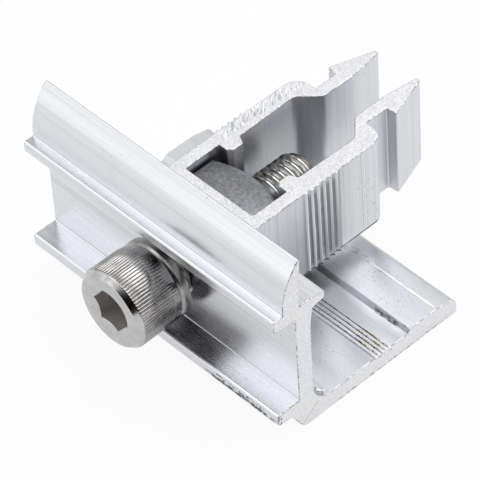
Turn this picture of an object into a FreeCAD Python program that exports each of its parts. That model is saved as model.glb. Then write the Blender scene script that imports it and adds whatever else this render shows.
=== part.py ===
"""End clamp for a framed solar panel: jaw, cap screw, washer, captive square nut and snap-in rail nut.

Frame: X along the jaw's length, Y along the screw towards the rail, Z up from the leg's underside.
The origin is under the web's inner face, half way along the jaw.  All sizes are millimetres.
"""
import FreeCAD, Part

import math
import os

# Standard fastener sizes: M8 socket head cap screw and a square nut for it
thread_diameter = 8.0
screw_length = 30.0
head_diameter = 13.0
head_height = 8.0
head_chamfer = 0.45
head_chamfer_length = 0.8
head_rear_band = 1.4
knurl_count = 80
knurl_depth = 0.15
socket_across_flats = 6.0
socket_depth = 4.5
socket_turn = 51.0
socket_chamfer = 0.3
drill_point_angle = 30.0
point_chamfer = 0.9
nut_width = 13.0
nut_height = 6.5
nut_face_diameter = 12.4
nut_chamfer_angle = 30.0
washer_outer = 12.8
washer_bore = 8.4
washer_thickness = 1.75
washer_bevel_width = 0.4
washer_bevel_height = 0.6

# Clearances between the pieces
hole_clearance = 0.5
thread_clearance = 0.04
head_gap = 0.03
washer_float = 1.95
nut_bay_gap = 3.8
nut_side_clearance = 0.35
nut_end_clearance = 0.02

# Jaw: an extruded section, cut to length
jaw_length = 51.0
web_thickness = 2.8
screw_channel = 16.4
foot_reach = 4.2
foot_top = 6.0
foot_thickness = 2.05
foot_slope = 0.3
toe_width = 1.4
toe_inset = 0.6
toe_radius = 1.5
ledge_reach = 4.0
ledge_thickness = 2.35
ledge_under_radius = 0.9
blade_back = 2.2
blade_height = 8.9
blade_straight = 4.35
blade_back_radius = 11.0
blade_front = 0.85
blade_lean = 3.7
tooth_reach = 2.85
tooth_thickness = 1.65
tooth_step = 0.35
tooth_fall = 0.2
tooth_under_rise = 0.4
web_swell = 0.5
web_swell_height = 3.1
web_swell_radius = 30.0
leg_reach = 28.4
leg_thickness = 3.0
leg_root_radius = 3.4
pad_rise = 0.65
pad_start = 18.4
pad_length = 6.1
strip_fall = 0.84
nose_radius = 1.7
nose_foot_radius = 0.4
groove_count = 5
groove_start = 12.0
groove_pitch = 0.7
groove_width = 0.36
groove_depth = 0.15
corner_radius = 0.4
root_radius = 0.2

# Rail nut: an extruded section with two sprung arms, symmetrical about the screw
rail_nut_height = 16.0
rail_nut_width = 18.0
closed_end_wall = 3.3
closed_end_radius = 1.0
lip_opening = 9.2
lip_chamfer = 0.7
lip_length = 2.55
lip_back_slope = 0.7
channel_width = 12.0
channel_flare = 0.2
channel_length = 10.9
shoulder_radius = 2.6
shoulder_reach = 14.3
neck_width = 10.4
neck_slot = 6.2
neck_length = 4.3
neck_round = 1.7
barb_width = 14.0
barb_hook = 0.25
barb_length = 7.25
tip_width = 9.1
tip_slot = 7.7
tip_radius = 0.3
tip_flare_start = 6.0
ridge_count = 6
ridge_pitch = 1.19
ridge_height = 0.37
ridge_start = 1.7

# How far a cutting shape runs past what it cuts
cut_margin = 1.0

# Heights and positions that follow from the sizes above
screw_axis_z = foot_top + screw_channel / 2
web_outer_y = -web_thickness
washer_rear_y = web_outer_y - washer_float
head_rear_y = washer_rear_y - washer_thickness - head_gap
pocket_y = nut_bay_gap + closed_end_wall
pocket_length = nut_height + 2 * nut_end_clearance


def point(place, pair):
    """Turn a flat pair of section coordinates into a point in space."""
    return FreeCAD.Vector(*place(pair[0], pair[1]))


def corner_arc(before, corner, after, radius):
    """Return where a rounded corner starts, its middle and where it ends."""
    to_before = FreeCAD.Vector(before[0] - corner[0], before[1] - corner[1], 0)
    to_after = FreeCAD.Vector(after[0] - corner[0], after[1] - corner[1], 0)
    half_angle = to_before.getAngle(to_after) / 2
    to_before.normalize()
    to_after.normalize()
    run = radius / math.tan(half_angle)
    apex = FreeCAD.Vector(corner[0], corner[1], 0)
    inward = (to_before + to_after).normalize()
    middle = apex + inward * (radius / math.sin(half_angle) - radius)
    start = apex + to_before * run
    end = apex + to_after * run
    return start, middle, end


def rounded_section(corners, place):
    """Make a flat face from corners given as (a, b, radius), with a true arc at each rounded one."""
    edges = []
    last = None
    first = None
    count = len(corners)
    for index, (a, b, radius) in enumerate(corners):
        if radius > 0:
            before = corners[index - 1]
            after = corners[(index + 1) % count]
            marks = [point(place, mark) for mark in corner_arc(before, (a, b), after, radius)]
        else:
            marks = [point(place, (a, b))]
        if last is not None and last.distanceToPoint(marks[0]) > 1e-6:
            edges.append(Part.makeLine(last, marks[0]))
        if radius > 0:
            edges.append(Part.Arc(*marks).toShape())
        first = first or marks[0]
        last = marks[-1]
    edges.append(Part.makeLine(last, first))
    return Part.Face(Part.Wire(edges))


def on_jaw_section(y, z):
    """Place section coordinates (y, z) on the jaw's left cut face."""
    return (-jaw_length / 2, y, z)


def on_nut_section(x, y):
    """Place section coordinates (x, y) on the rail nut's lower cut face."""
    return (x, y, screw_axis_z - rail_nut_height / 2)


def cylinder_along_screw(radius, start_y, end_y):
    """Make a cylinder on the screw's axis between two stations."""
    base = FreeCAD.Vector(0, start_y, screw_axis_z)
    return Part.makeCylinder(radius, end_y - start_y, base, FreeCAD.Vector(0, 1, 0))


def foot_corners():
    """Lower back of the jaw: the slanted toe and the flange that guards the screw head."""
    toe_y = web_outer_y + toe_inset
    end_y = web_outer_y - foot_reach
    under_end = foot_top - foot_thickness
    under_root = under_end - foot_slope
    return [
        (toe_y, 0, toe_radius),
        (web_outer_y - toe_width, under_root, corner_radius),
        (end_y, under_end, corner_radius),
        (end_y, foot_top, corner_radius),
        (web_outer_y, foot_top, root_radius),
    ]


def ledge_corners():
    """Upper back of the jaw: the ledge over the screw head."""
    under = foot_top + screw_channel
    end_y = web_outer_y - ledge_reach
    return [
        (web_outer_y, under, root_radius),
        (end_y, under, ledge_under_radius),
        (end_y, under + ledge_thickness, corner_radius),
        (web_outer_y - blade_back, under + ledge_thickness, root_radius),
    ]


def blade_corners():
    """The curved blade that lies over the panel's frame, from its back to its inner foot."""
    ledge_top = foot_top + screw_channel + ledge_thickness
    tooth_top = ledge_top - tooth_step
    tip_z = ledge_top + blade_height
    back_y = web_outer_y - blade_back
    front_y = web_outer_y + blade_front
    tip_y = front_y + (tip_z - tooth_top) * math.tan(math.radians(blade_lean))
    return [
        (back_y, ledge_top + blade_straight, blade_back_radius),
        (tip_y, tip_z, root_radius),
        (front_y, tooth_top, root_radius),
    ]


def tooth_corners():
    """The blunt tooth that bears on the side of the panel's frame, and the swell of the web below it."""
    tooth_top = foot_top + screw_channel + ledge_thickness - tooth_step
    end_top = tooth_top - tooth_fall
    root_z = tooth_top - tooth_thickness - tooth_under_rise
    return [
        (tooth_reach, end_top, corner_radius),
        (tooth_reach, tooth_top - tooth_thickness, corner_radius),
        (web_swell, root_z, corner_radius),
        (0, root_z - web_swell_height, web_swell_radius),
    ]


def groove_corners():
    """The fine grooves across the leg's upper face."""
    corners = []
    for index in range(groove_count):
        middle = groove_start + index * groove_pitch
        corners.append((middle - groove_width / 2, leg_thickness, 0))
        corners.append((middle, leg_thickness - groove_depth, 0))
        corners.append((middle + groove_width / 2, leg_thickness, 0))
    return corners


def leg_corners():
    """The leg's upper face from the web to the rounded nose that stands on the rail."""
    pad_top = leg_thickness + pad_rise
    pad_from = pad_start + pad_rise
    strip_from = pad_start + pad_length
    corners = [(0, leg_thickness, leg_root_radius)]
    corners += groove_corners()
    corners += [
        (pad_start, leg_thickness, root_radius),
        (pad_from, pad_top, root_radius),
        (strip_from, pad_top, 0),
        (leg_reach, pad_top - strip_fall, nose_radius),
        (leg_reach, 0, nose_foot_radius),
    ]
    return corners


def make_jaw():
    """Extrude the jaw's section and drill the screw's clearance hole through the web."""
    corners = foot_corners() + ledge_corners() + blade_corners() + tooth_corners() + leg_corners()
    body = rounded_section(corners, on_jaw_section).extrude(FreeCAD.Vector(jaw_length, 0, 0))
    hole_radius = thread_diameter / 2 + hole_clearance
    hole = cylinder_along_screw(hole_radius, web_outer_y - cut_margin, cut_margin)
    return body.cut(hole)


def ridge_corners(wall_x):
    """The gripping ridges on the outside of an arm."""
    first_y = pocket_y + pocket_length + ridge_start
    corners = []
    for index in range(ridge_count):
        crest_y = first_y + index * ridge_pitch
        corners.append((wall_x, crest_y - ridge_height, 0))
        corners.append((wall_x + ridge_height, crest_y, 0))
        corners.append((wall_x, crest_y + ridge_height, 0))
    return corners


def arm_outer_corners():
    """Outside of one arm, from the closed end to the tip of the barb."""
    wall_x = rail_nut_width / 2
    shoulder_y = pocket_y + pocket_length + lip_length + lip_back_slope + shoulder_reach
    barb_y = shoulder_y + neck_length
    neck_x = neck_width / 2
    return [(wall_x, nut_bay_gap, closed_end_radius)] + ridge_corners(wall_x) + [
        (wall_x, shoulder_y, shoulder_radius),
        (neck_x, shoulder_y, root_radius),
        (neck_x, barb_y - barb_hook, root_radius),
        (barb_width / 2, barb_y, root_radius),
        (tip_width / 2, barb_y + barb_length, tip_radius),
    ]


def arm_inner_corners():
    """Inside of one arm, from the tip back to the floor of the nut's pocket."""
    pocket_end = pocket_y + pocket_length
    lip_end = pocket_end + lip_length
    channel_start = lip_end + lip_back_slope
    shoulder_y = channel_start + shoulder_reach
    barb_y = shoulder_y + neck_length
    channel_x = channel_width / 2
    flared_x = channel_x + channel_flare
    slot_x = neck_slot / 2
    bend_y = channel_start + channel_length
    lip_x = lip_opening / 2
    pocket_x = nut_width / 2 + nut_side_clearance
    return [
        (tip_slot / 2, barb_y + barb_length, tip_radius),
        (slot_x, barb_y + barb_length - tip_flare_start, 2 * neck_round),
        (slot_x, bend_y + flared_x - slot_x, neck_round),
        (flared_x, bend_y, neck_round),
        (channel_x, channel_start, root_radius),
        (lip_x, lip_end, root_radius),
        (lip_x, pocket_end + lip_chamfer, root_radius),
        (lip_x + lip_chamfer, pocket_end, root_radius),
        (pocket_x, pocket_end, root_radius),
        (pocket_x, pocket_y, corner_radius),
    ]


def make_rail_nut():
    """Extrude the two armed section and drill its closed end for the screw."""
    right = arm_outer_corners() + arm_inner_corners()
    left = [(-x, y, radius) for x, y, radius in reversed(right)]
    section = rounded_section(right + left, on_nut_section)
    body = section.extrude(FreeCAD.Vector(0, 0, rail_nut_height))
    hole_radius = thread_diameter / 2 + hole_clearance
    hole = cylinder_along_screw(hole_radius, nut_bay_gap - cut_margin, pocket_y + cut_margin)
    return body.cut(hole)


def make_square_nut():
    """A square nut with a cone-turned outer face, bored to the thread's outside."""
    front_y = pocket_y + nut_end_clearance
    half = nut_width / 2
    corner = FreeCAD.Vector(-half, front_y, screw_axis_z - half)
    block = Part.makeBox(nut_width, nut_height, nut_width, corner)
    slope = math.tan(math.radians(nut_chamfer_angle))
    cone_height = nut_height + nut_face_diameter / 2 * slope
    base = FreeCAD.Vector(0, front_y, screw_axis_z)
    cone = Part.makeCone(cone_height / slope, 0, cone_height, base, FreeCAD.Vector(0, 1, 0))
    bore_radius = thread_diameter / 2 + thread_clearance
    bore = cylinder_along_screw(bore_radius, front_y - cut_margin, front_y + nut_height + cut_margin)
    return block.common(cone).cut(bore)


def knurled_prism(start_y, end_y):
    """A fluted prism as wide as the head, for its straight knurl."""
    crest = head_diameter / 2
    valley = crest - knurl_depth
    points = []
    for index in range(2 * knurl_count):
        angle = math.pi * index / knurl_count
        radius = crest if index % 2 == 0 else valley
        x = radius * math.cos(angle)
        z = screw_axis_z + radius * math.sin(angle)
        points.append(FreeCAD.Vector(x, start_y, z))
    points.append(points[0])
    face = Part.Face(Part.makePolygon(points))
    return face.extrude(FreeCAD.Vector(0, end_y - start_y, 0))


def socket_prism(front_y):
    """The hexagon socket, its lead-in cone and the drilled point at its floor."""
    hex_corner = socket_across_flats / math.sqrt(3)
    points = []
    for index in range(7):
        angle = math.radians(socket_turn + 60 * index)
        x = hex_corner * math.cos(angle)
        z = screw_axis_z + hex_corner * math.sin(angle)
        points.append(FreeCAD.Vector(x, front_y, z))
    hexagon = Part.Face(Part.makePolygon(points)).extrude(FreeCAD.Vector(0, socket_depth, 0))
    mouth = FreeCAD.Vector(0, front_y, screw_axis_z)
    along = FreeCAD.Vector(0, 1, 0)
    lead_radius = hex_corner + socket_chamfer / 2
    lead_in = Part.makeCone(lead_radius, lead_radius - socket_chamfer, socket_chamfer, mouth, along)
    floor = FreeCAD.Vector(0, front_y + socket_depth, screw_axis_z)
    drill_radius = socket_across_flats / 2
    drill_depth = drill_radius * math.tan(math.radians(drill_point_angle))
    drilled = Part.makeCone(drill_radius, 0, drill_depth, floor, along)
    return hexagon.fuse(lead_in).fuse(drilled)


def make_cap_screw():
    """A cap screw with a knurled head, a hexagon socket and a chamfered point."""
    front_y = head_rear_y - head_height
    knurl_rear = head_rear_y - head_rear_band
    head = head_diameter / 2
    shank = thread_diameter / 2
    end_y = head_rear_y + screw_length
    outline = [
        (0, front_y),
        (head - head_chamfer, front_y),
        (head, front_y + head_chamfer_length),
        (head, head_rear_y),
        (shank, head_rear_y),
        (shank, end_y - point_chamfer),
        (shank - point_chamfer, end_y),
        (0, end_y),
        (0, front_y),
    ]
    points = [FreeCAD.Vector(x, y, screw_axis_z) for x, y in outline]
    profile = Part.Face(Part.makePolygon(points))
    axis_point = FreeCAD.Vector(0, 0, screw_axis_z)
    turned = profile.revolve(axis_point, FreeCAD.Vector(0, 1, 0), 360)
    rear_part = cylinder_along_screw(head_diameter, knurl_rear, end_y + cut_margin)
    knurled = turned.common(knurled_prism(front_y - cut_margin, knurl_rear))
    plain = turned.common(rear_part)
    return knurled.fuse(plain).cut(socket_prism(front_y))


def make_washer():
    """A flat lock washer with a bevelled front rim, loose behind the screw's head."""
    front_y = washer_rear_y - washer_thickness
    outer = washer_outer / 2
    bore = washer_bore / 2
    outline = [
        (bore, front_y),
        (outer - washer_bevel_width, front_y),
        (outer, front_y + washer_bevel_height),
        (outer, washer_rear_y - root_radius),
        (outer - root_radius, washer_rear_y),
        (bore, washer_rear_y),
        (bore, front_y),
    ]
    points = [FreeCAD.Vector(x, y, screw_axis_z) for x, y in outline]
    profile = Part.Face(Part.makePolygon(points))
    return profile.revolve(FreeCAD.Vector(0, 0, screw_axis_z), FreeCAD.Vector(0, 1, 0), 360)


def main():
    """Build every piece and write it as a STEP file of its own."""
    pieces = {
        "clamp_jaw": make_jaw(),
        "rail_nut": make_rail_nut(),
        "square_nut": make_square_nut(),
        "cap_screw": make_cap_screw(),
        "washer": make_washer(),
    }
    os.makedirs("parts", exist_ok=True)
    for name, shape in pieces.items():
        shape.exportStep("parts/" + name + ".step")


main()
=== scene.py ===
"""Solar end clamp: fine shapes, finishes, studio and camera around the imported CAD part."""
import logging
import math
from dataclasses import dataclass
from enum import Enum
from functools import cache, partial
from typing import Any, Callable, Sequence

import bmesh
import bpy
from bmesh.types import BMEdge, BMesh, BMFace, BMVert
from bpy.types import Material, Mesh, Node, Object
from bpy.types import NodeSocket as Socket
from bpy.types import NodeTree as Tree
from mathutils import Euler, Matrix, Vector


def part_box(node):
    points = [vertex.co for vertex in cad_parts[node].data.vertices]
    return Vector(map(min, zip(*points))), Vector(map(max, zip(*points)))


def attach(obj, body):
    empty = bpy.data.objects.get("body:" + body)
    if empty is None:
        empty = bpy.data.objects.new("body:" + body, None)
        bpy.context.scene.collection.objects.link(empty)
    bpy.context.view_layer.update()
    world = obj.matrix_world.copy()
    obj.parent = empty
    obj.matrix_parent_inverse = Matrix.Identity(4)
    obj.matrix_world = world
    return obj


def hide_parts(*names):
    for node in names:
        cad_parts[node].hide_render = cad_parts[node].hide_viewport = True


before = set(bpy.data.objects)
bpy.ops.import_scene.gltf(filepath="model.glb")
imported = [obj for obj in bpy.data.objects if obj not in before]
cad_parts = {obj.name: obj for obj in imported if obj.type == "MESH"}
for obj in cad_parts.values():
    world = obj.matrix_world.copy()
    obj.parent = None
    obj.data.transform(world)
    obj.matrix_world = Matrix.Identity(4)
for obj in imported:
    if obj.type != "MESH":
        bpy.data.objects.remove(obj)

Triple = tuple[float, float, float]
Range = tuple[float, float]
# What feeds an input: a node stands for its first output
Wire = Node | Socket
Look = tuple[Wire, Wire | float, Wire]

LOG = logging.getLogger("end_clamp")
MM = 0.001
SCREW_AXIS_Z = 14.2
AXIS_POINT = (0, 0, SCREW_AXIS_Z * MM)
# Points closer than this are one, and faces that meet flatter than this are one
SAME_POINT = 0.002 * MM
SAME_PLANE = math.radians(0.3)
# Edges sharper than this many degrees stay sharp
SHARP_ANGLE = 38.0


def linear(code: str) -> tuple[float, float, float, float]:
    """Turn an sRGB hex colour into the linear colour that the shaders work in.

    Args:
        code: A colour written as #RRGGBB.

    Returns:
        Red, green, blue and an alpha of one.
    """
    values = [int(code[i : i + 2], 16) / 255 for i in (1, 3, 5)]
    toe, slope, offset, power = 0.04045, 12.92, 0.055, 2.4
    red, green, blue = (
        v / slope if v <= toe else ((v + offset) / (1 + offset)) ** power for v in values
    )
    return red, green, blue, 1.0


def add_node(
    tree: Tree, kind: str, inputs: dict[str | int, Any] | None = None, **settings: Any
) -> Node:
    """Add a node with its settings, and with a value or a link for each input named.

    Args:
        tree: The node tree of a material or the world.
        kind: The node's type name.
        inputs: Socket name or number to a plain value or to what feeds it.
        **settings: Properties of the node itself.

    Returns:
        The new node.
    """
    node = tree.nodes.new(kind)
    for name, value in settings.items():
        setattr(node, name, value)
    for key, value in (inputs or {}).items():
        if isinstance(value, Node):
            value = value.outputs[0]
        if isinstance(value, Socket):
            tree.links.new(value, node.inputs[key])
        else:
            node.inputs[key].default_value = value
    return node


def blank_material(name: str) -> Material:
    """Return a new material whose nodes are still to be added.

    Args:
        name: The material's name.

    Returns:
        The material.
    """
    material = bpy.data.materials.new(name)
    material.use_nodes = True
    material.node_tree.nodes.clear()
    return material


def new_object(name: str, mesh: Mesh) -> Object:
    """Put a mesh in the scene as an object.

    Args:
        name: The object's name.
        mesh: Its mesh, already in its place.

    Returns:
        The new object.
    """
    thing = bpy.data.objects.new(name, mesh)
    bpy.context.scene.collection.objects.link(thing)
    return thing


def new_piece(name: str, mesh: Mesh, body: str) -> Object:
    """Put a finished mesh in the scene and let it ride on a body of the part.

    Args:
        name: The piece's name.
        mesh: Its mesh, already in its place.
        body: The body that carries it.

    Returns:
        The new object.
    """
    piece = new_object(name, mesh)
    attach(piece, body)
    return piece


def off_axis(point: Vector) -> Vector:
    """Return how far and which way a point lies from the screw's axis."""
    return Vector((point.x, 0, point.z - SCREW_AXIS_Z * MM))


def by_axis(across: Vector, along: float) -> Vector:
    """Return the point with a given offset from the screw's axis and distance along it."""
    return Vector((across.x, along, across.z + SCREW_AXIS_Z * MM))


def merged_copy(node: str) -> BMesh:
    """Return a CAD node's surface as a bmesh with its points joined and its flat faces whole.

    Args:
        node: The node's name.

    Returns:
        The cleaned copy.
    """
    shell = bmesh.new()
    shell.from_mesh(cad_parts[node].data)
    bmesh.ops.remove_doubles(shell, verts=shell.verts, dist=SAME_POINT)
    bmesh.ops.dissolve_limit(
        shell,
        angle_limit=SAME_PLANE,
        verts=shell.verts,
        edges=shell.edges,
        use_dissolve_boundaries=False,
    )
    return shell


def ease_edges(shell: BMesh, chosen: Callable[[BMEdge], bool], width: float) -> list[BMFace]:
    """Round the chosen edges over by a small width.

    Args:
        shell: The surface to work on.
        chosen: Says whether an edge is rounded.
        width: The width of the rounding in metres.

    Returns:
        The new faces of the rounding.
    """
    edges = [edge for edge in shell.edges if len(edge.link_faces) == 2 and chosen(edge)]
    made = bmesh.ops.bevel(
        shell,
        geom=edges,
        offset=width,
        offset_type="OFFSET",
        affect="EDGES",
        segments=2,
        profile=0.5,
        material=-1,
        clamp_overlap=False,
    )
    return made["faces"]


def to_mesh(
    shell: BMesh, name: str, *finishes: "Metal", sharp_angle: float = SHARP_ANGLE
) -> Mesh:
    """Turn a bmesh into a mesh that is smooth except across edges sharper than an angle.

    Args:
        shell: The surface, which is freed.
        name: The mesh's name.
        *finishes: The finishes, in the order in which its faces number them.
        sharp_angle: The angle in degrees.

    Returns:
        The mesh.
    """
    for face in shell.faces:
        face.smooth = True
    mesh = bpy.data.meshes.new(name)
    shell.to_mesh(mesh)
    shell.free()
    mesh.set_sharp_from_angle(angle=math.radians(sharp_angle))
    for finish in finishes:
        mesh.materials.append(finish.build())
    return mesh


def turned_shape(
    outline: Sequence[tuple[float, float]], steps: int, close_poles: bool = True
) -> BMesh:
    """Turn an outline round the screw's axis.

    Args:
        outline: Pairs of distance along the screw and radius, in millimetres.
        steps: The number of facets round the axis.
        close_poles: Whether the outline starts and ends on the axis.

    Returns:
        The turned surface with its normals outwards.
    """
    shape = bmesh.new()
    points = [
        shape.verts.new((radius * MM, along * MM, SCREW_AXIS_Z * MM)) for along, radius in outline
    ]
    edges = [shape.edges.new(pair) for pair in zip(points, points[1:])]
    if not close_poles:
        edges.append(shape.edges.new((points[-1], points[0])))
    bmesh.ops.spin(
        shape,
        geom=points + edges,
        cent=AXIS_POINT,
        axis=(0, 1, 0),
        angle=math.tau,
        steps=steps,
        use_merge=True,
    )
    bmesh.ops.remove_doubles(shape, verts=shape.verts, dist=SAME_POINT / 2)
    bmesh.ops.recalc_face_normals(shape, faces=shape.faces)
    return shape


# Finishes


class Grain(Enum):
    """The way a section ran through its die, which is the way its lines run."""

    ALONG_JAW = (1.0, 0.0, 0.0)
    ALONG_NUT = (0.0, 0.0, 1.0)


def stretched(grain: Grain, across_mm: float, along_mm: float) -> Triple:
    """Return the pattern scale, per metre, of lines that run along a grain.

    Args:
        grain: The direction of the lines.
        across_mm: The real spacing across them.
        along_mm: The real length along them.

    Returns:
        The scale along X, Y and Z.
    """
    return tuple((1000 / along_mm if part else 1000 / across_mm) for part in grain.value)


@dataclass(frozen=True)
class Blotch:
    """A patch of dirt, wear, torn metal, painted shade or painted highlight inside a box, broken up
    by its own grain.

    Places and sizes are in millimetres. A cover of one fills the box and a small cover leaves a
    few specks. The turn is the grain's angle about Z in degrees. The rest says where the patch
    starts to fade, between which noise levels the cover runs, and how soft a speck's rim is.
    """

    low: Triple
    high: Triple
    colour: str
    grain_mm: Triple
    cover: float = 0.5
    strength: float = 0.9
    turn: float = 0.0
    fade_from: float = 0.8
    noise_top: float = 0.68
    noise_span: float = 0.36
    speck_rim: float = 0.05

    def mask(self, tree: Tree, place: Wire) -> Wire:
        """Return where the patch shows.

        Args:
            tree: The finish's nodes.
            place: The place on the piece in metres.

        Returns:
            The strength inside the patch's specks and nothing elsewhere.
        """
        add = partial(add_node, tree)
        centre = tuple((a + b) / 2 * MM for a, b in zip(self.low, self.high))
        reach = tuple((b - a) / 2 * MM for a, b in zip(self.low, self.high))
        offset = add("ShaderNodeVectorMath", {0: place, 1: centre}, operation="SUBTRACT")
        share = add("ShaderNodeVectorMath", {0: offset, 1: reach}, operation="DIVIDE")
        size = add("ShaderNodeVectorMath", {0: share}, operation="ABSOLUTE")
        x, y, z = add("ShaderNodeSeparateXYZ", {"Vector": size}).outputs
        wider = add("ShaderNodeMath", {0: x, 1: y}, operation="MAXIMUM")
        widest = add("ShaderNodeMath", {0: wider, 1: z}, operation="MAXIMUM")
        fade = {"From Min": self.fade_from, "From Max": 1.0, "To Min": 1.0, "To Max": 0.0}
        inside = add("ShaderNodeMapRange", {"Value": widest, **fade})
        angle = {"Vector": place, "Angle": math.radians(self.turn)}
        turned = add("ShaderNodeVectorRotate", angle, rotation_type="Z_AXIS")
        scale = tuple(1000 / grain for grain in self.grain_mm)
        scaled = add("ShaderNodeMapping", {"Vector": turned, "Scale": scale})
        noise = {"Vector": scaled, "Scale": 1.0, "Detail": 2.0, "Roughness": 0.6}
        specks = add("ShaderNodeTexNoise", noise)
        edge = self.noise_top - self.noise_span * self.cover
        limits = {"From Min": edge, "From Max": edge + self.speck_rim, "To Max": self.strength}
        shown = add("ShaderNodeMapRange", {"Value": specks, **limits})
        return add("ShaderNodeMath", {0: inside, 1: shown}, operation="MULTIPLY")


@dataclass(frozen=True)
class Scratch:
    """One straight scratch between two points, full to its core and gone at its rim."""

    start: Triple
    end: Triple
    colour: str
    width_mm: float = 0.12
    strength: float = 0.8
    core: float = 0.25
    rim: float = 0.6

    def mask(self, tree: Tree, place: Wire) -> Wire:
        """Return where the scratch shows.

        Args:
            tree: The finish's nodes.
            place: The place on the piece in metres.

        Returns:
            The strength along the scratch and nothing elsewhere.
        """
        add = partial(add_node, tree)
        start, end = Vector(self.start) * MM, Vector(self.end) * MM
        run = end - start
        unit = run / run.length_squared
        offset = add("ShaderNodeVectorMath", {0: place, 1: start}, operation="SUBTRACT")
        along = add("ShaderNodeVectorMath", {0: offset, 1: unit}, operation="DOT_PRODUCT")
        held = add("ShaderNodeClamp", {"Value": along.outputs["Value"]})
        foot = add("ShaderNodeVectorMath", {0: run, "Scale": held}, operation="SCALE")
        away = add("ShaderNodeVectorMath", {0: offset, 1: foot}, operation="DISTANCE")
        limits = {
            "Value": away.outputs["Value"],
            "From Min": self.width_mm * self.core * MM,
            "From Max": self.width_mm * self.rim * MM,
            "To Min": self.strength,
            "To Max": 0.0,
        }
        return add("ShaderNodeMapRange", limits)


Marks = tuple[Blotch | Scratch, ...]


def toned(tree: Tree, tone: Wire, limits: Range, grey: str, pale: str) -> Wire:
    """Spread a pattern's values over two colours.

    Args:
        tree: The finish's nodes.
        tone: The pattern.
        limits: The values that give the first and the second colour.
        grey: The first colour.
        pale: The second colour.

    Returns:
        The colour.
    """
    span = {"Value": tone, "From Min": limits[0], "From Max": limits[1]}
    spread = add_node(tree, "ShaderNodeMapRange", span)
    colours = {"Factor": spread, 6: linear(grey), 7: linear(pale)}
    return add_node(tree, "ShaderNodeMix", colours, data_type="RGBA").outputs[2]


def overlaid(tree: Tree, colour: Wire, overlay: str, where: Wire) -> Wire:
    """Lay a colour over another: stains, die lines, pits, painted shade and painted highlights.

    Args:
        tree: The finish's nodes.
        colour: The colour below.
        overlay: The colour laid on top.
        where: How much of it shows.

    Returns:
        The colour below with the new one laid over.
    """
    colours = {"Factor": where, 6: colour, 7: linear(overlay)}
    return add_node(tree, "ShaderNodeMix", colours, data_type="RGBA").outputs[2]


@dataclass(frozen=True)
class Metal:
    """A bare metal surface. Each kind works out its own colour, gloss and relief."""

    name: str

    def surface(self, tree: Tree, place: Wire) -> Look:
        """Add the nodes that make this kind of surface.

        Args:
            tree: The finish's nodes.
            place: The place on the piece in metres.

        Returns:
            The colour, the roughness and the normal.
        """
        raise NotImplementedError

    @cache
    def build(self) -> Material:
        """Make the material, once for all the pieces that share it.

        Returns:
            The material with its nodes.
        """
        material = blank_material(self.name)
        tree = material.node_tree
        place = add_node(tree, "ShaderNodeTexCoord").outputs["Object"]
        colour, gloss, normal = self.surface(tree, place)
        look = {"Base Color": colour, "Metallic": 1.0, "Roughness": gloss, "Normal": normal}
        shader = add_node(tree, "ShaderNodeBsdfPrincipled", look)
        add_node(tree, "ShaderNodeOutputMaterial", {"Surface": shader})
        return material


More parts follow.
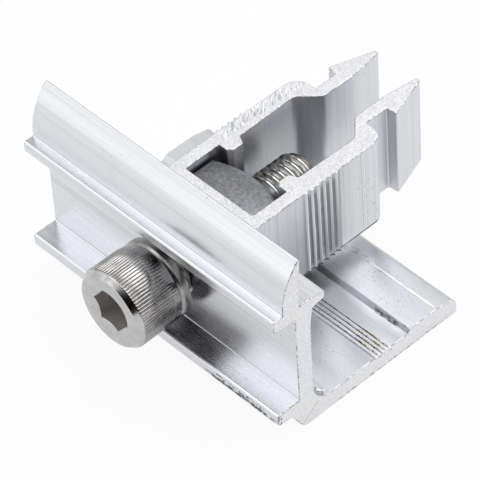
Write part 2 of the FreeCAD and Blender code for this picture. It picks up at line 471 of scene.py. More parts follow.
@dataclass(frozen=True)
class ExtrudedAluminium(Metal):
    """Mill-finish 6000-series aluminium as the die leaves it: satin, with fine lines along the run.

    Fine lines and broader bands mottle the colour and the gloss. Thin dark die lines show where
    the bands dip lowest, faint stains and pits are strewn over all of it, and the side towards
    the rail can be rubbed duller. The limits are the pattern's levels that each runs between.
    """

    grain: Grain
    pale: str = "#E0E1E5"
    grey: str = "#D7D8DC"
    dark: str = "#AEB0B5"
    tone_limits: Range = (0.8, 1.15)
    line_mm: float = 0.16
    line_run_mm: float = 40.0
    band_mm: float = 1.1
    band_run_mm: float = 150.0
    lines: float = 0.12
    line_limits: Range = (0.36, 0.30)
    stains: float = 0.10
    stain_mm: float = 5.0
    stain_limits: Range = (0.60, 0.75)
    gloss_low: float = 0.23
    gloss_high: float = 0.29
    gloss_limits: Range = (0.3, 0.7)
    worn_from_mm: float = 0.0
    worn_to_mm: float = 3.0
    worn_gloss: float = 0.0
    relief: float = 0.07
    relief_mm: float = 0.02
    pit_colour: str = "#77787C"
    pit_spacing_mm: float = 1.6
    pit_limits: Range = (0.03, 0.07)
    pit_share: float = 0.16
    marks: Marks = ()

    def surface(self, tree: Tree, place: Wire) -> Look:
        """Add the nodes that make this kind of surface.

        Args:
            tree: The finish's nodes.
            place: The place on the piece in metres.

        Returns:
            The colour, the roughness and the normal.
        """
        add = partial(add_node, tree)
        line_scale = stretched(self.grain, self.line_mm, self.line_run_mm)
        band_scale = stretched(self.grain, self.band_mm, self.band_run_mm)
        fine_place = add("ShaderNodeMapping", {"Vector": place, "Scale": line_scale})
        band_place = add("ShaderNodeMapping", {"Vector": place, "Scale": band_scale})
        noise = {"Vector": fine_place, "Scale": 1.0, "Detail": 3.0, "Roughness": 0.65}
        fine = add("ShaderNodeTexNoise", noise)
        noise = {"Vector": band_place, "Scale": 1.0, "Detail": 3.0, "Roughness": 0.6}
        band = add("ShaderNodeTexNoise", noise)
        tone = add("ShaderNodeMath", {0: fine, 1: band}, operation="ADD")
        base = toned(tree, tone, self.tone_limits, self.grey, self.pale)
        colour = overlaid(tree, base, self.dark, self.soiled(tree, place, band))
        colour = overlaid(tree, colour, self.pit_colour, self.pitted(tree, place))
        low, high = self.gloss_limits
        limits = {"From Min": low, "From Max": high, "To Min": self.gloss_low}
        gloss = add("ShaderNodeMapRange", {"Value": fine, **limits, "To Max": self.gloss_high})
        # The side that rubs on the rail is duller than the outside
        y = add("ShaderNodeSeparateXYZ", {"Vector": place}).outputs["Y"]
        limits = {"From Min": self.worn_from_mm * MM, "From Max": self.worn_to_mm * MM}
        worn = add("ShaderNodeMapRange", {"Value": y, **limits, "To Max": self.worn_gloss})
        dull = add("ShaderNodeMath", {0: gloss, 1: worn}, operation="ADD")
        relief = {"Height": fine, "Strength": self.relief, "Distance": self.relief_mm * MM}
        bump = add("ShaderNodeBump", relief)
        return marked(tree, place, colour, self.marks), dull, bump

    def soiled(self, tree: Tree, place: Wire, band: Wire) -> Wire:
        """Return where the thin die lines and the faint stains show.

        Args:
            tree: The finish's nodes.
            place: The place on the piece in metres.
            band: The pattern of the bands.

        Returns:
            How much of the dark tone shows.
        """
        add = partial(add_node, tree)
        cloud = {"Scale": 1000 / self.stain_mm, "Detail": 5.0, "Roughness": 0.6}
        patch = add("ShaderNodeTexNoise", {"Vector": place, **cloud})
        low, high = self.line_limits
        limits = {"From Min": low, "From Max": high, "To Max": self.lines}
        line = add("ShaderNodeMapRange", {"Value": band, **limits})
        low, high = self.stain_limits
        limits = {"From Min": low, "From Max": high, "To Max": self.stains}
        smudge = add("ShaderNodeMapRange", {"Value": patch, **limits})
        return add("ShaderNodeMath", {0: line, 1: smudge}, operation="MAXIMUM")

    def pitted(self, tree: Tree, place: Wire) -> Wire:
        """Return where the few small dark pits are.

        Args:
            tree: The finish's nodes.
            place: The place on the piece in metres.

        Returns:
            One in a pit and nothing elsewhere.
        """
        add = partial(add_node, tree)
        low, high = self.pit_limits
        limits = {"From Min": low, "From Max": high, "To Min": 1.0, "To Max": 0.0}
        scale = 1000 / self.pit_spacing_mm
        cells = add("ShaderNodeTexVoronoi", {"Vector": place, "Scale": scale})
        near = add("ShaderNodeMapRange", {"Value": cells, **limits})
        pick = add("ShaderNodeSeparateColor", {"Color": cells.outputs["Color"]})
        level = {0: pick, 1: 1.0 - self.pit_share}
        chosen = add("ShaderNodeMath", level, operation="GREATER_THAN")
        return add("ShaderNodeMath", {0: near, 1: chosen}, operation="MULTIPLY")


@dataclass(frozen=True)
class SawnAluminium(Metal):
    """Aluminium cut by a fine circular saw: matt, mottled, with a bright torn grain.

    The tone adds up from the torn grain, the mottle and the saw's sweeping lines, and the same
    sum gives the relief.
    """

    pale: str = "#F3F3F4"
    grey: str = "#DEDFE1"
    tone_limits: Range = (1.72, 2.15)
    grain_mm: float = 0.18
    grain_weight: float = 2.4
    mottle_mm: float = 0.35
    gloss: float = 0.42
    saw_axis: Triple = (1.0, 0.0, 0.0)
    saw_turn: float = -35.0
    saw_mm: float = 0.55
    saw_run_mm: float = 6.0
    saw_weight: float = 0.5
    relief: float = 0.28
    relief_mm: float = 0.02
    marks: Marks = ()

    def surface(self, tree: Tree, place: Wire) -> Look:
        """Add the nodes that make this kind of surface.

        Args:
            tree: The finish's nodes.
            place: The place on the piece in metres.

        Returns:
            The colour, the roughness and the normal.
        """
        add = partial(add_node, tree)
        torn = {"Scale": 1000 / self.grain_mm, "Detail": 3.0, "Roughness": 0.7}
        grain = add("ShaderNodeTexNoise", {"Vector": place, **torn})
        cloud = {"Scale": 1000 / self.mottle_mm, "Detail": 3.0}
        mottle = add("ShaderNodeTexNoise", {"Vector": place, **cloud})
        angle = {"Vector": place, "Axis": self.saw_axis, "Angle": math.radians(self.saw_turn)}
        turned = add("ShaderNodeVectorRotate", angle, rotation_type="AXIS_ANGLE")
        sweep = (1000 / self.saw_mm, 1000 / self.saw_run_mm, 1000 / self.saw_mm)
        swept = add("ShaderNodeMapping", {"Vector": turned, "Scale": sweep})
        noise = {"Scale": 1.0, "Detail": 3.0, "Roughness": 0.7}
        saw = add("ShaderNodeTexNoise", {"Vector": swept, **noise})
        tone = mottle
        for pattern, weight in ((grain, self.grain_weight), (saw, self.saw_weight)):
            terms = {0: pattern, 1: weight, 2: tone}
            tone = add("ShaderNodeMath", terms, operation="MULTIPLY_ADD")
        base = toned(tree, tone, self.tone_limits, self.grey, self.pale)
        relief = {"Height": tone, "Strength": self.relief, "Distance": self.relief_mm * MM}
        bump = add("ShaderNodeBump", relief)
        return marked(tree, place, base, self.marks), self.gloss, bump


@dataclass(frozen=True)
class Steel(Metal):
    """Fastener steel: rolled, forged or turned, with fine marks over a soft mottle."""

    pale: str
    grey: str
    gloss: float
    tone_limits: Range = (0.75, 1.25)
    mark_mm: float = 0.25
    mottle_mm: float = 1.5
    relief: float = 0.15
    relief_mm: float = 0.01

    def surface(self, tree: Tree, place: Wire) -> Look:
        """Add the nodes that make this kind of surface.

        Args:
            tree: The finish's nodes.
            place: The place on the piece in metres.

        Returns:
            The colour, the roughness and the normal.
        """
        add = partial(add_node, tree)
        fine = {"Scale": 1000 / self.mark_mm, "Detail": 3.0, "Roughness": 0.65}
        mark = add("ShaderNodeTexNoise", {"Vector": place, **fine})
        cloud = {"Scale": 1000 / self.mottle_mm, "Detail": 3.0}
        mottle = add("ShaderNodeTexNoise", {"Vector": place, **cloud})
        tone = add("ShaderNodeMath", {0: mark, 1: mottle}, operation="ADD")
        base = toned(tree, tone, self.tone_limits, self.grey, self.pale)
        relief = {"Height": mark, "Strength": self.relief, "Distance": self.relief_mm * MM}
        return base, self.gloss, add("ShaderNodeBump", relief)


def marked(tree: Tree, place: Wire, colour: Wire, marks: Marks) -> Wire:
    """Lay a finish's marks over its colour, one after the other.

    Args:
        tree: The finish's nodes.
        place: The place on the piece, in metres.
        colour: The clean colour.
        marks: The dirt, wear, scratches, painted shade and painted highlights.

    Returns:
        The colour with the marks on it.
    """
    for mark in marks:
        colour = overlaid(tree, colour, mark.colour, mark.mask(tree, place))
    return colour


JAW_MARKS = (
    # The leg's rubbed, duller side
    Blotch((-32, 2.0, 2.5), (32, 31.0, 4.1), "#C2C3C7", (9.0, 9.0, 9.0), 1.0, 0.38),
    # The low strip before the leg's step: painted shade all along, and oily dirt with gold specks
    # near the end
    Blotch((-25.6, 11.9, 2.7), (25.6, 15.3, 2.93), "#626166", (9.0, 0.5, 0.5), 1.0, 0.85),
    Blotch((12, 11.9, 2.7), (25.6, 15.3, 2.97), "#55504A", (0.7, 0.25, 0.3), 0.36, 0.8),
    Blotch((19.5, 12.0, 2.75), (25.3, 15.2, 3.0), "#8C7A38", (0.65, 0.33, 0.45), 0.48, 0.9),
    Blotch((19, 12.0, 2.75), (25.3, 15.2, 3.0), "#2A2722", (0.55, 0.30, 0.40), 0.34, 0.95),
    Blotch((11, 12.4, 2.75), (16, 15.2, 3.05), "#6C5C38", (0.5, 0.3, 0.3), 0.22, 0.8),
    # The black tear along the foot's lower edge
    Blotch((10, -7.2, 2.6), (25.4, -5.9, 4.9), "#3A3A3D", (1.1, 0.35, 0.35), 0.62, 0.95),
    Blotch((12, -7.4, 3.0), (23.0, -6.2, 5.7), "#1E1E20", (0.7, 0.35, 0.35), 0.44, 1.0),
    # Dirt on the step's corner, a worn line, and a painted highlight along the leg's rounding
    Blotch((18.5, 18.25, 2.9), (23.8, 18.85, 3.8), "#45433F", (0.8, 0.16, 0.3), 0.58, 0.8),
    Blotch((-25, 23.9, 3.4), (18, 25.0, 3.8), "#8E8F94", (0.9, 0.22, 0.25), 0.34, 0.8),
    # Painted highlight: a white line where the leg's rounding catches the light
    Blotch((12.0, 24.2, 3.4), (25.6, 24.5, 3.8), "#FFFFFF", (3.0, 0.5, 0.5), 0.95, 0.9),
    # Scratches and nicks of the blade
    Scratch((-19.0, -4.4, 25.6), (-17.6, -4.0, 29.2), "#B2B3B8", 0.12, 0.6),
    Scratch((-10.4, -3.9, 31.3), (-9.2, -3.7, 30.9), "#8C8D92", 0.14, 0.7),
    Scratch((-23.2, -3.6, 32.3), (-22.9, -3.6, 32.4), "#55565B", 0.35, 0.9),
    Scratch((24.9, -2.3, 33.0), (25.6, -2.2, 32.6), "#2F2F33", 0.35, 0.9),
    # Pits of the leg and of its step
    Blotch((-25, 19.2, 3.4), (25, 27.5, 3.8), "#77787C", (0.55, 0.30, 0.4), 0.13, 0.75),
    Blotch((8, 4.0, 2.8), (25.6, 11.0, 3.1), "#77787C", (0.35, 0.30, 0.4), 0.10, 0.75),
)
JAW_CUT_MARKS = (
    # A scratch across the foot, its torn corner, painted shade along the leg's lower rim by the
    # floor, and the oily step
    Scratch((25.5, -2.46, 0.78), (25.5, 0.84, 3.08), "#8B8C90", 0.16, 0.7),
    Blotch((25.3, -7.1, 3.6), (25.6, -6.2, 5.9), "#2C2C2E", (0.4, 0.4, 0.4), 0.40, 0.9),
    # Painted shade along the lower rim, where the leg meets the floor
    Blotch((25.3, 3.0, -0.1), (25.6, 28.4, 0.45), "#5E5F63", (0.5, 0.9, 0.25), 0.45, 0.75),
    Blotch((25.3, 12.0, 2.3), (25.6, 15.4, 3.1), "#6A6048", (0.3, 0.3, 0.3), 0.38, 0.8),
)
NUT_MARKS = (
    # The ridges: painted shade in the roots and a painted highlight on the crests
    Blotch((8.9, 14.6, 6.0), (9.10, 22.2, 22.3), "#6A6B6F", (0.5, 0.5, 9.0), 1.0, 0.8),
    Blotch((9.28, 14.6, 6.0), (9.45, 22.2, 22.3), "#F6F6F8", (0.5, 0.5, 9.0), 1.0, 0.9),
    # A die line and rubbed spots on the flat behind them
    Scratch((9.0, 26.2, 21.9), (9.0, 26.3, 7.0), "#7C7D82", 0.10, 0.8),
    Blotch((8.8, 24.5, 8.0), (9.2, 29.5, 19.0), "#9A9B9F", (0.5, 0.45, 0.9), 0.20, 0.6),
    # Painted shade: a dark line along the lower edge above the leg, darker inner walls, and a dark
    # nut pocket
    Blotch((8.8, 13.0, 6.0), (9.6, 36.0, 6.6), "#2E2E30", (3.0, 3.0, 0.6), 0.9, 0.9),
    Blotch((-7.9, 13.9, 6.0), (7.9, 30.0, 22.0), "#A9ABAF", (9.0, 9.0, 9.0), 1.0, 0.6),
    Blotch((-8.2, 5.0, 6.0), (8.2, 13.9, 21.6), "#3E3B38", (3.0, 3.0, 3.0), 1.0, 0.72),
)
NUT_CUT_MARKS = (
    # The saw's slanting strokes on the far arm, grey and bright
    Blotch((-9.5, 14.2, 22.0), (-6.9, 31.5, 22.3), "#A4A6AB", (1.6, 0.30, 0.5), 0.42, 0.8, 45.0),
    Blotch((-9.5, 14.2, 22.0), (-6.9, 31.5, 22.3), "#FFFFFF", (1.4, 0.26, 0.5), 0.36, 0.9, 45.0),
)

# Jaw: 6000-series aluminium pressed through a die and left bare, so pale satin with fine lines
# along it. The leg's side, which slides on the rail, is rubbed duller
JAW_EXTRUDED = ExtrudedAluminium(
    "jaw_extruded", Grain.ALONG_JAW, worn_gloss=0.09, marks=JAW_MARKS
)
# Jaw's ends: the same metal cut by a fine saw, so matt white with a bright torn grain
JAW_SAWN = SawnAluminium("jaw_sawn", marks=JAW_CUT_MARKS)
# Rims of the sawn ends: metal that the saw pushed over and tore, painted dark grey as well for the
# burr's shadow and the edges' dark outline, so they break up light and dark
TORN_EDGE_PAINTED_SHADE = SawnAluminium(
    "torn_edge_painted_shade", pale="#E8E8EA", grey="#828387", grain_mm=0.30, mottle_mm=0.9, gloss=0.35
)
# Rail nut: a finer section of the same alloy, so its die lines are closer and darker, and duller
RAIL_NUT_EXTRUDED = ExtrudedAluminium(
    "rail_nut_extruded",
    Grain.ALONG_NUT,
    grey="#D2D3D7",
    dark="#A6A8AD",
    line_mm=0.14,
    band_mm=0.5,
    lines=0.30,
    gloss_low=0.33,
    gloss_high=0.39,
    marks=NUT_MARKS,
)
# Rail nut's ends: sawn across at 45 degrees, a little greyer than the jaw's
RAIL_NUT_SAWN = SawnAluminium(
    "rail_nut_sawn",
    pale="#EAEAEC",
    grey="#CBCCCF",
    grain_mm=0.16,
    saw_axis=(0.0, 0.0, 1.0),
    saw_turn=-45.0,
    marks=NUT_CUT_MARKS,
)
# Square nut: stainless steel, pressed and left dull, so plain grey with a broad soft shine
NUT_STEEL = Steel("plain_nut_steel", "#97989C", "#717276", 0.45, mark_mm=0.16, mottle_mm=0.5)
# Screw's face: stainless steel, forged against a smooth die, so nearly white and glossy
HEAD_STEEL = Steel("screw_head_steel", "#C6C6C6", "#B6B6B6", 0.17)
# Socket: the same steel as the punch sheared it, so matt, and painted paler than the face to stand
# in for light inside the deep socket
SOCKET_STEEL_PAINTED_LIGHT = Steel("socket_steel_painted_light", "#D8D5D3", "#BCB8B6", 0.48)
# Knurl: rolled and polished by the roll, so sharp bright glints between dark grooves
KNURLED_STEEL = Steel("knurled_steel", "#B4B2B1", "#989694", 0.12)
# Thread: rolled flanks and crests, burnished, so crisp light and dark lines
THREAD_STEEL = Steel("thread_steel", "#D0CFCD", "#ABA9A6", 0.18)
# Thread's roots: the same steel, made dark and dull in the roots
ROOT_STEEL = Steel("thread_root_steel", "#7A7774", "#5C5A58", 0.40)
# Washer: stainless steel, pressed and tumbled, so a soft even grey shine
WASHER_STEEL = Steel("washer_steel_bright", "#A9A8A6", "#929190", 0.27)


# Pieces


@dataclass
class SawnExtrusion:
    """An extruded section cut to length, with its sawn ends eased and given their own finish.

    A face is sawn when it faces along the cut axis, and at an end when it lies this near to it.
    """

    node: str
    body: str
    slot: str
    cut_axis: int
    drawn: Metal
    sawn: Metal
    burr_and_painted_shade: Metal = TORN_EDGE_PAINTED_SHADE
    rim_mm: float = 0.12
    facing: float = 0.95
    reach_mm: float = 0.01
    sharp_angle: float = 20.0

    def is_cut(self, face: BMFace) -> bool:
        """Say whether a face is one of the sawn ends."""
        return abs(face.normal[self.cut_axis]) > self.facing

    def build(self) -> Object:
        """Make the piece from the CAD solid's surface.

        Returns:
            The finished piece, standing for its CAD node.
        """
        shell = merged_copy(self.node)
        for face in shell.faces:
            face.material_index = 1 if self.is_cut(face) else 0
        ends = {corner[self.cut_axis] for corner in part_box(self.node)}

        def on_rim(edge: BMEdge) -> bool:
            """Say whether an edge bounds a sawn end."""
            cut = [self.is_cut(face) and self.at_end(face, ends) for face in edge.link_faces]
            return cut[0] != cut[1]

        # The eased rims take the torn finish, painted dark in part as shade
        for face in ease_edges(shell, on_rim, self.rim_mm * MM):
            face.material_index = 2
        finishes = self.drawn, self.sawn, self.burr_and_painted_shade
        mesh = to_mesh(shell, self.node + "_surface", *finishes, sharp_angle=self.sharp_angle)
        piece = new_piece(self.node + "_dressed", mesh, self.body)
        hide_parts(self.node)
        return piece

    def at_end(self, face: BMFace, ends: set[float]) -> bool:
        """Say whether a face lies in one of the end planes."""
        place = face.calc_center_median()[self.cut_axis]
        return any(abs(place - end) < self.reach_mm * MM for end in ends)


@dataclass
class CapScrew:
    """The socket head cap screw: knurled head, hexagon socket, rolled thread.

    Places along the screw, radii and depths are in millimetres, angles in degrees.
    """

    head_front: float = -14.53
    head_rear: float = -6.53
    head_radius: float = 6.5
    face_radius: float = 5.75
    band: float = 1.4
    knurls: int = 80
    knurl_depth: float = 0.12
    knurl_steps: int = 8
    knurl_sharpness: float = 6.0
    socket_flats: float = 6.0
    socket_depth: float = 4.5
    socket_point: float = 1.2
    socket_turn: float = 51.0
    sink_radius: float = 3.8
    sink_angle: float = 30.0
    sink_steps: int = 120
    end: float = 23.47
    end_slope: float = 0.9
    pitch: float = 1.25
    crest: float = 3.97
    root: float = 3.30
    thread_steps: int = 48
    thread_angle: float = 50.0

    def build_head(self) -> Object:
        """Make the head with its knurl and its socket.

        Returns:
            The head.
        """
        front, rear, radius = self.head_front, self.head_rear, self.head_radius
        knurl_rear = rear - self.band
        # Close pairs of rings bound the chamfer, so that its shading stays flat and crisp
        outline = [
            (front, 0),
            (front, self.face_radius - 0.05),
            (front + 0.05, self.face_radius + 0.05),
            (front + 0.11, self.face_radius + 0.10),
            (front + 0.70, radius - 0.20),
            (front + 0.76, radius - 0.14),
            (front + 0.88, radius - 0.05),
            (front + 1.05, radius),
            (knurl_rear - 0.15, radius),
            (knurl_rear + 0.15, radius - 0.10),
            (rear - 0.08, radius - 0.12),
            (rear, radius - 0.20),
            (rear, 0),
        ]
        head = turned_shape(outline, self.knurls * self.knurl_steps)
        # The knurl keeps clear of the chamfer and of the plain band behind it
        knurl_start, knurl_end = front + 0.95, knurl_rear - 0.1
        knurl_inside = (radius - 0.3) * MM
        for vert in head.verts:
            across = off_axis(vert.co)
            if knurl_start < vert.co.y / MM < knurl_end and across.length > knurl_inside:
                phase = math.atan2(across.z, across.x) * self.knurls / math.tau % 1.0
                share = max(0.0, 1.0 - min(phase, 1.0 - phase) * self.knurl_sharpness)
                across.length -= self.knurl_depth * MM * share
                vert.co = by_axis(across, vert.co.y)
        side_start = (front + 0.9) * MM
        for face in head.faces:
            face.material_index = 2 if face.calc_center_median().y > side_start else 0
        mesh = to_mesh(head, "screw_head_surface", HEAD_STEEL, SOCKET_STEEL_PAINTED_LIGHT, KNURLED_STEEL)
        piece = new_piece("screw_head", mesh, "screw")
        # The socket's walls take the paler steel, painted light for the deep socket
        self.cut_out(piece, self.socket_cutter(), 1)
        self.cut_out(piece, self.countersink_cutter(), 0)
        piece.data.set_sharp_from_angle(angle=math.radians(SHARP_ANGLE))
        return piece

    def cut_out(self, piece: Object, shape: Mesh, finish: int) -> None:
        """Take a shape out of the head for good.

        Args:
            piece: The head.
            shape: The shape to take out, which isn't part of the clamp.
            finish: The number of the head's finish that the cut faces take.
        """
        for material in piece.data.materials:
            shape.materials.append(material)
        for polygon in shape.polygons:
            polygon.material_index = finish
        cutter = new_object(shape.name, shape)
        cut = piece.modifiers.new("cut", "BOOLEAN")
        cut.operation = "DIFFERENCE"
        cut.solver = "EXACT"
        cut.object = cutter
        bpy.context.view_layer.update()
        depsgraph = bpy.context.evaluated_depsgraph_get()
        holed = bpy.data.meshes.new_from_object(piece.evaluated_get(depsgraph))
        piece.modifiers.remove(cut)
        piece.data = holed
        bpy.data.objects.remove(cutter)

    def countersink_cutter(self) -> Mesh:
        """Return the flat cone that opens the socket's mouth.

        Returns:
            The cone.
        """
        above = 0.3
        slope = math.tan(math.radians(self.sink_angle))
        outline = [
            (self.head_front - above, 0),
            (self.head_front - above, self.sink_radius + above / slope),
            (self.head_front + self.sink_radius * slope, 0),
        ]
        return to_mesh(turned_shape(outline, self.sink_steps), "countersink")

    def socket_cutter(self) -> Mesh:
        """Return a hexagon plug with a drilled point, to be taken out of the head.

        Returns:
            The plug.
        """
        above = 1
        plug = bmesh.new()
        corner = self.socket_flats / math.sqrt(3) * MM
        made = bmesh.ops.create_circle(plug, cap_ends=True, segments=6, radius=corner)
        upright = Matrix.Rotation(math.radians(90), 3, "X")
        bmesh.ops.rotate(plug, verts=plug.verts, cent=(0, 0, 0), matrix=upright)
        first = made["verts"][0].co
        angle = math.atan2(first.z, first.x) - math.radians(self.socket_turn)
        turn = Matrix.Rotation(angle, 3, "Y")
        bmesh.ops.rotate(plug, verts=plug.verts, cent=(0, 0, 0), matrix=turn)
        mouth = (0, (self.head_front - above) * MM, SCREW_AXIS_Z * MM)
        bmesh.ops.translate(plug, verts=plug.verts, vec=mouth)
        floor = bmesh.ops.extrude_face_region(plug, geom=plug.faces[:])["geom"]
        moved = [part for part in floor if isinstance(part, BMVert)]
        bottom = [part for part in floor if isinstance(part, BMFace)]
        depth = (0, (above + self.socket_depth) * MM, 0)
        bmesh.ops.translate(plug, verts=moved, vec=depth)
        tip = bmesh.ops.poke(plug, faces=bottom)
        bmesh.ops.translate(plug, verts=tip["verts"], vec=(0, self.socket_point * MM, 0))
        bmesh.ops.recalc_face_normals(plug, faces=plug.faces)
        mesh = bpy.data.meshes.new("socket_plug")
        plug.to_mesh(mesh)
        plug.free()
        return mesh

    def build_thread(self) -> Object:
        """Make the shank with its rolled thread and its chamfered end.

        Returns:
            The threaded shank.
        """
        crest, root, pitch = self.crest, self.root, self.pitch
        # The shank starts inside the head, and spare turns at both ends are cut away below
        start = self.head_rear - 0.6
        turns = int((self.end - start) / pitch) + 3
        # One turn of the thread: share of the pitch and radius
        profile = (
            (0.0, root + 0.04),
            (0.12, root),
            (0.26, root + 0.04),
            (0.50, crest - 0.1),
            (0.56, crest),
            (0.70, crest),
            (0.76, crest - 0.1),
        )
        shank = bmesh.new()
        height = SCREW_AXIS_Z * MM
        line = [
            shank.verts.new((radius * MM, (start - pitch + (turn + along) * pitch) * MM, height))
            for turn in range(turns)
            for along, radius in profile
        ]
        edges = [shank.edges.new(pair) for pair in zip(line, line[1:])]
        bmesh.ops.spin(
            shank,
            geom=line + edges,
            cent=AXIS_POINT,
            axis=(0, 1, 0),
            dvec=(0, pitch / self.thread_steps * MM, 0),
            angle=math.tau,
            steps=self.thread_steps,
            use_merge=False,
        )
        bmesh.ops.remove_doubles(shank, verts=shank.verts, dist=SAME_POINT)
        # Both ends are cut square, and the free end is chamfered down to below the root. A point
        # that would fall on the axis stays off it by a hair, so that its direction isn't lost
        tip, hair = (root - 0.15) * MM, 1e-9
        for vert in shank.verts:
            across = off_axis(vert.co)
            along = max(start * MM, min(vert.co.y, self.end * MM))
            within = start * MM <= vert.co.y <= self.end * MM
            room = tip + (self.end * MM - along) * self.end_slope
            across.length = max(min(across.length, room if within else 0.0), hair)
            vert.co = by_axis(across, along)
        bmesh.ops.remove_doubles(shank, verts=shank.verts, dist=SAME_POINT)
        bmesh.ops.recalc_face_normals(shank, faces=shank.faces)
        root_reach, facing_end = (root + 0.12) * MM, 0.9
        for face in shank.faces:
            deep = off_axis(face.calc_center_median()).length < root_reach
            face.material_index = 1 if deep and abs(face.normal.y) < facing_end else 0
        finishes = THREAD_STEEL, ROOT_STEEL
        mesh = to_mesh(shank, "screw_thread_surface", *finishes, sharp_angle=self.thread_angle)
        piece = new_piece("screw_thread", mesh, "screw")
        return piece

    def build(self) -> list[Object]:
        """Make the whole screw.

        Returns:
            The head and the threaded shank.
        """
        head = self.build_head()
        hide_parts("cap_screw")
        return [head, self.build_thread()]


@dataclass
class LockWasher:
    """The ring behind the head, with a bevelled front rim. Its sizes are in millimetres."""

    front: float = -6.50
    rear: float = -4.75
    outer: float = 6.4
    bore: float = 4.2
    steps: int = 128
    sharp_angle: float = 30.0

    def build(self) -> Object:
        """Make the washer.

        Returns:
            The washer, standing for its CAD node.
        """
        # A bevelled front rim and a rounded rear rim
        outline = [
            (self.front, self.bore),
            (self.front, self.outer - 0.45),
            (self.front + 0.05, self.outer - 0.36),
            (self.front + 0.55, self.outer - 0.03),
            (self.front + 0.70, self.outer),
            (self.rear - 0.22, self.outer),
            (self.rear - 0.06, self.outer - 0.06),
            (self.rear, self.outer - 0.22),
            (self.rear, self.bore),
        ]
        ring = turned_shape(outline, self.steps, close_poles=False)
        mesh = to_mesh(ring, "washer_surface", WASHER_STEEL, sharp_angle=self.sharp_angle)
        piece = new_piece("washer_dressed", mesh, "washer_ring")
        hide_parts("washer")
        return piece


@dataclass(frozen=True)
class Curl:
    """One curled shaving: where it lies, how tight it is and how it is turned."""

    place: Triple
    radius_mm: float
    wire_mm: float
    sweep: float
    turns: Triple


# Shavings that the saw left: one on the step's corner and a few in the corner under the web
CURLS = (
    Curl((24.88, 18.75, 3.45), 0.42, 0.24, 290.0, (20.0, 75.0, 10.0)),
    Curl((24.80, 1.2, 4.1), 0.45, 0.30, 250.0, (70.0, 20.0, 40.0)),
    Curl((24.90, 2.2, 3.5), 0.34, 0.26, 300.0, (30.0, 70.0, -30.0)),
    Curl((24.9, 0.6, 5.1), 0.30, 0.22, 210.0, (80.0, -30.0, 10.0)),
    Curl((24.6, 2.0, 3.5), 0.26, 0.22, 180.0, (10.0, 10.0, 80.0)),
)


@dataclass
class Swarf:
    """The bright shavings that cling to the jaw's near sawn end."""

    curls: tuple[Curl, ...] = CURLS
    steps: int = 14
    sides: int = 6
    sharp_angle: float = 60.0

    def build(self) -> Object:
        """Make all the shavings as one piece.

        Returns:
            The piece, riding on the jaw.
        """
        heap = bmesh.new()
        for curl in self.curls:
            wire = curl.wire_mm / 2 * MM
            made = bmesh.ops.create_circle(heap, cap_ends=True, segments=self.sides, radius=wire)
            ring = list(made["verts"])
            bmesh.ops.translate(heap, verts=ring, vec=(curl.radius_mm * MM, 0, 0))
            section = ring + list(dict.fromkeys(e for vert in ring for e in vert.link_edges))
            section += dict.fromkeys(face for vert in ring for face in vert.link_faces)
            before = set(heap.verts) - set(ring)
            bmesh.ops.spin(
                heap,
                geom=section,
                cent=(0, 0, 0),
                axis=(0, 1, 0),
                dvec=(0, curl.wire_mm / self.steps * MM, 0),
                angle=math.radians(curl.sweep),
                steps=self.steps,
                use_merge=False,
            )
            own = [vert for vert in heap.verts if vert not in before]
            turn = Euler([math.radians(angle) for angle in curl.turns]).to_matrix()
            bmesh.ops.rotate(heap, verts=own, cent=(0, 0, 0), matrix=turn)
            bmesh.ops.translate(heap, verts=own, vec=Vector(curl.place) * MM)
        bmesh.ops.recalc_face_normals(heap, faces=heap.faces)
        mesh = to_mesh(heap, "swarf_surface", JAW_SAWN, sharp_angle=self.sharp_angle)
        piece = new_piece("jaw_swarf", mesh, "jaw")
        return piece


@dataclass
class SquareNut:
    """The pressed square nut that the rail nut's pocket keeps from turning.

    Its edges outside the bore are rounded where they turn more than a few degrees.
    """

    edge_mm: float = 0.18
    edge_angle: float = 20.0
    bore_reach_mm: float = 5.0

    def build(self) -> Object:
        """Make the nut from the CAD solid's surface.

        Returns:
            The nut, standing for its CAD node.
        """
        shell = merged_copy("square_nut")

        def outer_edge(edge: BMEdge) -> bool:
            """Say whether an edge stands out and lies outside the bore."""
            turned = edge.calc_face_angle_signed(0.0)
            middle = (edge.verts[0].co + edge.verts[1].co) / 2
            outside = off_axis(middle).length > self.bore_reach_mm * MM
            return turned > math.radians(self.edge_angle) and outside

        ease_edges(shell, outer_edge, self.edge_mm * MM)
        mesh = to_mesh(shell, "square_nut_surface", NUT_STEEL)
        piece = new_piece("square_nut_dressed", mesh, "nut_slider")
        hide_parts("square_nut")
        return piece


# Studio


@dataclass
class PhotoCamera:
    """The photograph's camera: a long lens, looking down on the near end of the clamp.

    Angles are in degrees and lengths in millimetres, the clipping planes in metres.
    """

    azimuth: float = 49.175
    elevation: float = 45.819
    roll: float = -3.993
    distance: float = 550.67
    right_shift: float = 7.010
    up_shift: float = 12.369
    lens: float = 287.43
    sensor: float = 36.0
    nearest: float = 0.01
    farthest: float = 20.0

    def build(self) -> Object:
        """Place the camera and make it the scene's own.

        Returns:
            The camera.
        """
        turn, rise, tilt = (math.radians(v) for v in (self.azimuth, self.elevation, self.roll))
        flat = math.cos(rise)
        back = Vector((math.sin(turn) * flat, -math.cos(turn) * flat, math.sin(rise)))
        right = (-back).cross(Vector((0, 0, 1))).normalized()
        up = right.cross(-back)
        rolled_right = math.cos(tilt) * right + math.sin(tilt) * up
        rolled_up = -math.sin(tilt) * right + math.cos(tilt) * up
        data = bpy.data.cameras.new("photo_camera")
        data.lens = self.lens
        data.sensor_width = self.sensor
        data.clip_start = self.nearest
        data.clip_end = self.farthest
        camera = bpy.data.objects.new("photo_camera", data)
        camera.matrix_world = Matrix((rolled_right, rolled_up, back)).transposed().to_4x4()
        place = back * self.distance + rolled_right * self.right_shift + rolled_up * self.up_shift
        camera.location = place * MM
        bpy.context.scene.collection.objects.link(camera)
        bpy.context.scene.camera = camera
        return camera


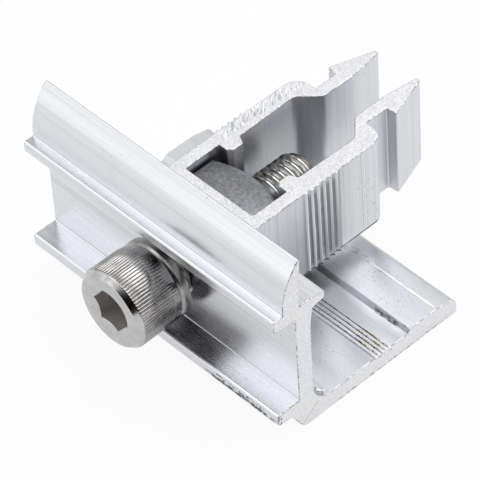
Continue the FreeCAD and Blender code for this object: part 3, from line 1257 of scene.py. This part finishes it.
@dataclass(frozen=True)
class Panel:
    """A soft round patch of light on the tent: the way towards it, its brightness and width.

    It is full up to the inner angle from its middle and gone at the outer angle, in degrees.
    """

    way: Triple
    level: float
    inner_angle: float = 11.0
    outer_angle: float = 24.0


# Wide soft panels all round from low to high, then narrow ones that the screw's head mirrors
PANELS = (
    Panel((-0.46, -0.88, 0.12), 0.82),
    Panel((-0.84, -0.49, 0.22), 0.58),
    Panel((-0.12, -0.95, 0.28), 0.76),
    Panel((-0.04, 0.93, 0.36), 0.73),
    Panel((0.44, 0.77, 0.46), 1.90),
    Panel((-0.33, 0.79, 0.51), 0.62),
    Panel((0.13, 0.78, 0.61), 0.48),
    Panel((-0.61, -0.47, 0.63), 0.39),
    Panel((0.75, -0.06, 0.65), 0.38),
    Panel((-0.33, -0.52, 0.79), 0.88),
    Panel((-0.41, -0.19, 0.89), 0.88),
    Panel((0.39, -0.12, 0.91), 2.07),
    Panel((0.20, 0.14, 0.97), 0.40),
    Panel((-0.14, 0.02, 0.99), 0.30),
    Panel((-0.76, 0.43, 0.49), 1.20, 5.0, 13.0),
    Panel((0.36, 0.43, 0.83), 1.50, 5.0, 13.0),
    Panel((-0.26, 0.43, 0.86), 3.50, 5.0, 13.0),
    Panel((0.05, 0.43, 0.90), 2.20, 5.0, 13.0),
)


@dataclass
class WhiteStudio:
    """A white floor in an even tent with soft panels, dark where the camera looks in.

    Sizes are in metres and angles in degrees. The shares say how much of the floor glows by
    itself to the camera and in the metal's reflections, where the photo's paper is lit evenly.
    """

    floor_size: float = 3.0
    floor_drop: float = 0.05 * MM
    paper: str = "#E6E6E6"
    white: str = "#FFFFFF"
    seen_share: float = 0.92
    mirrored_share: float = 0.70
    tent_level: float = 0.40
    gap_way: Triple = (0.62, -0.60, 0.50)
    gap_inner_angle: float = 28.0
    gap_outer_angle: float = 50.0

    def build(self) -> None:
        """Make the floor and the tent."""
        self.build_floor()
        self.build_tent()

    def build_floor(self) -> None:
        """Make the floor, a white sheet that carries the clamp and keeps a faint shadow."""
        sheet = bmesh.new()
        bmesh.ops.create_grid(sheet, x_segments=2, y_segments=2, size=self.floor_size)
        bmesh.ops.translate(sheet, verts=sheet.verts, vec=(0, 0, -self.floor_drop))
        mesh = bpy.data.meshes.new("floor")
        sheet.to_mesh(mesh)
        sheet.free()
        # Matt white paper, so it takes only a soft faint shadow
        material = blank_material("white_paper_floor")
        add = partial(add_node, material.node_tree)
        paper = add("ShaderNodeBsdfDiffuse", {"Color": linear(self.paper), "Roughness": 0.0})
        glow = add("ShaderNodeEmission", {"Color": linear(self.white), "Strength": 1.0})
        ray = add("ShaderNodeLightPath").outputs
        rays = {0: ray["Is Glossy Ray"], 1: ray["Is Transmission Ray"]}
        bounced = add("ShaderNodeMath", rays, operation="MAXIMUM")
        mirrored = {0: bounced, 1: self.mirrored_share}
        mirrored = add("ShaderNodeMath", mirrored, operation="MULTIPLY")
        seen = {0: ray["Is Camera Ray"], 1: self.seen_share, 2: mirrored}
        share = add("ShaderNodeMath", seen, operation="MULTIPLY_ADD")
        both = add("ShaderNodeMixShader", {0: share, 1: paper, 2: glow})
        add("ShaderNodeOutputMaterial", {"Surface": both})
        mesh.materials.append(material)
        new_object("floor", mesh)

    def build_tent(self) -> None:
        """Light the world with the tent's panels, each fading out at its rim."""
        world = bpy.data.worlds.new("white_tent")
        bpy.context.scene.world = world
        world.use_nodes = True
        tree = world.node_tree
        tree.nodes.clear()
        add = partial(add_node, tree)
        way = add("ShaderNodeTexCoord").outputs["Generated"]
        gap = Panel(self.gap_way, 0.0, self.gap_inner_angle, self.gap_outer_angle)
        total = self.patch(tree, way, gap, self.tent_level)
        for panel in PANELS:
            light = self.patch(tree, way, panel, 0.0)
            total = add("ShaderNodeMath", {0: light, 1: total}, operation="ADD")
        room = add("ShaderNodeBackground", {"Color": linear(self.white), "Strength": total})
        add("ShaderNodeOutputWorld", {"Surface": room})

    def patch(self, tree: Tree, way: Wire, panel: Panel, outside: float) -> Wire:
        """Return the light of one panel in every direction.

        Args:
            tree: The world's nodes.
            way: The direction looked in.
            panel: The panel.
            outside: The level outside it.

        Returns:
            The level, which runs smoothly from the panel's own to the one outside.
        """
        middle = {0: way, 1: Vector(panel.way).normalized()}
        near = add_node(tree, "ShaderNodeVectorMath", middle, operation="DOT_PRODUCT")
        limits = {
            "Value": near.outputs["Value"],
            "From Min": math.cos(math.radians(panel.outer_angle)),
            "From Max": math.cos(math.radians(panel.inner_angle)),
            "To Min": outside,
            "To Max": panel.level,
        }
        return add_node(tree, "ShaderNodeMapRange", limits, interpolation_type="SMOOTHSTEP")


def main() -> None:
    """Dress the clamp, then set the studio and the camera."""
    logging.basicConfig(level=logging.INFO, format="%(name)s %(message)s")
    bpy.context.scene.view_settings.view_transform = "Standard"
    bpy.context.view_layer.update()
    jaw = SawnExtrusion("clamp_jaw", "jaw", "jaw_aluminium", 0, JAW_EXTRUDED, JAW_SAWN)
    rail_nut = SawnExtrusion(
        "rail_nut", "nut_slider", "rail_nut_aluminium", 2, RAIL_NUT_EXTRUDED, RAIL_NUT_SAWN
    )
    pieces = [jaw.build(), rail_nut.build(), SquareNut().build(), *CapScrew().build()]
    for piece in (*pieces, Swarf().build(), LockWasher().build()):
        LOG.info("%s: %d faces", piece.name, len(piece.data.polygons))
    WhiteStudio().build()
    PhotoCamera().build()


if __name__ == "__main__":
    main()
